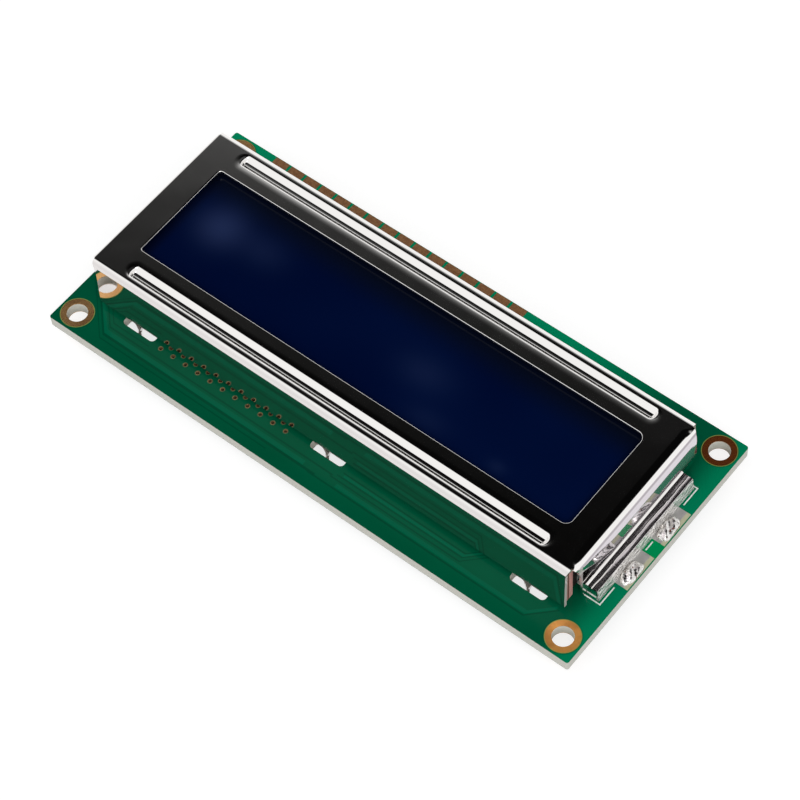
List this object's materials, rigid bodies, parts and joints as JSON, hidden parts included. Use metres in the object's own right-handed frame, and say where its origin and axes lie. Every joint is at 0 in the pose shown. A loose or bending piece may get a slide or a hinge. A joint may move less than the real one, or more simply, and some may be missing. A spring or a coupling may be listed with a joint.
{
  "type": "character lcd module",
  "caption": "Character display module: a glass display cell and edge-lit backlight clamped to a circuit board by a folded metal bezel with twisted tabs.",
  "frame": {"origin": "below the centre of the circuit board, level with the ends of the bezel's twisted tabs", "axes": "+Z out of the display face, +X along the long side towards the light bar, +Y towards the header row"},
  "size_m": [0.08, 0.036, 0.0122],
  "materials": {
    "green_mask": "glass-fibre board under glossy green solder mask",
    "bare_copper": "bare copper, slightly oxidised",
    "header_copper": "dark lacquered copper fingers",
    "bezel_sheet": "mirror-polished plated sheet",
    "polarizer_film": "smooth dark blue film",
    "cell_glass": "clear float glass",
    "seal_resin": "cured sealing resin",
    "crystal_layer": "dark blue layer",
    "connector_silicone": "soft pink silicone",
    "connector_core": "dark layered conducting rubber",
    "tray_plastic": "white moulded plastic",
    "light_sheets": "white reflector and diffuser film",
    "guide_acrylic": "clear acrylic",
    "lamp_board": "white lacquered thin board",
    "lamp_body": "white lamp bodies with yellow resin",
    "bright_foil": "bright, slightly wavy foil metal",
    "tinned_metal": "tinned copper",
    "solder": "bright solder with flux specks",
    "white_print": "white printed ink",
    "black_resin": "black sealing resin, softly glossy",
    "die_silicon": "dark silicon",
    "resistor_body": "black lacquered ceramic",
    "capacitor_body": "tan ceramic"
  },
  "bodies": {
    "root": {"circuit_board": "green_mask", "mounting_hole_rings": "bare_copper", "header_pads": "header_copper", "vias": "header_copper", "bezel": "bezel_sheet", "front_polarizer": "polarizer_film", "front_glass": "cell_glass", "cell_seal": "seal_resin", "liquid_crystal": "crystal_layer", "rear_glass": "cell_glass", "rear_polarizer": "polarizer_film", "zebra_sides": "connector_silicone", "zebra_cores": "connector_core", "backlight_tray": "tray_plastic", "reflector_sheet": "light_sheets", "light_guide": "guide_acrylic", "diffuser_sheet": "light_sheets", "led_board": "lamp_board", "leds": "lamp_body", "light_bar_cover": "bright_foil", "backlight_pads": "tinned_metal", "backlight_terminals": "tinned_metal", "solder_joints": "solder", "printed_outline": "white_print", "resin_drops": "black_resin", "chip_dies": "die_silicon", "chip_resistors": "resistor_body", "chip_capacitors": "capacitor_body", "chip_metal_ends": "tinned_metal", "chip_pads": "tinned_metal"}
  },
  "joints": []
}
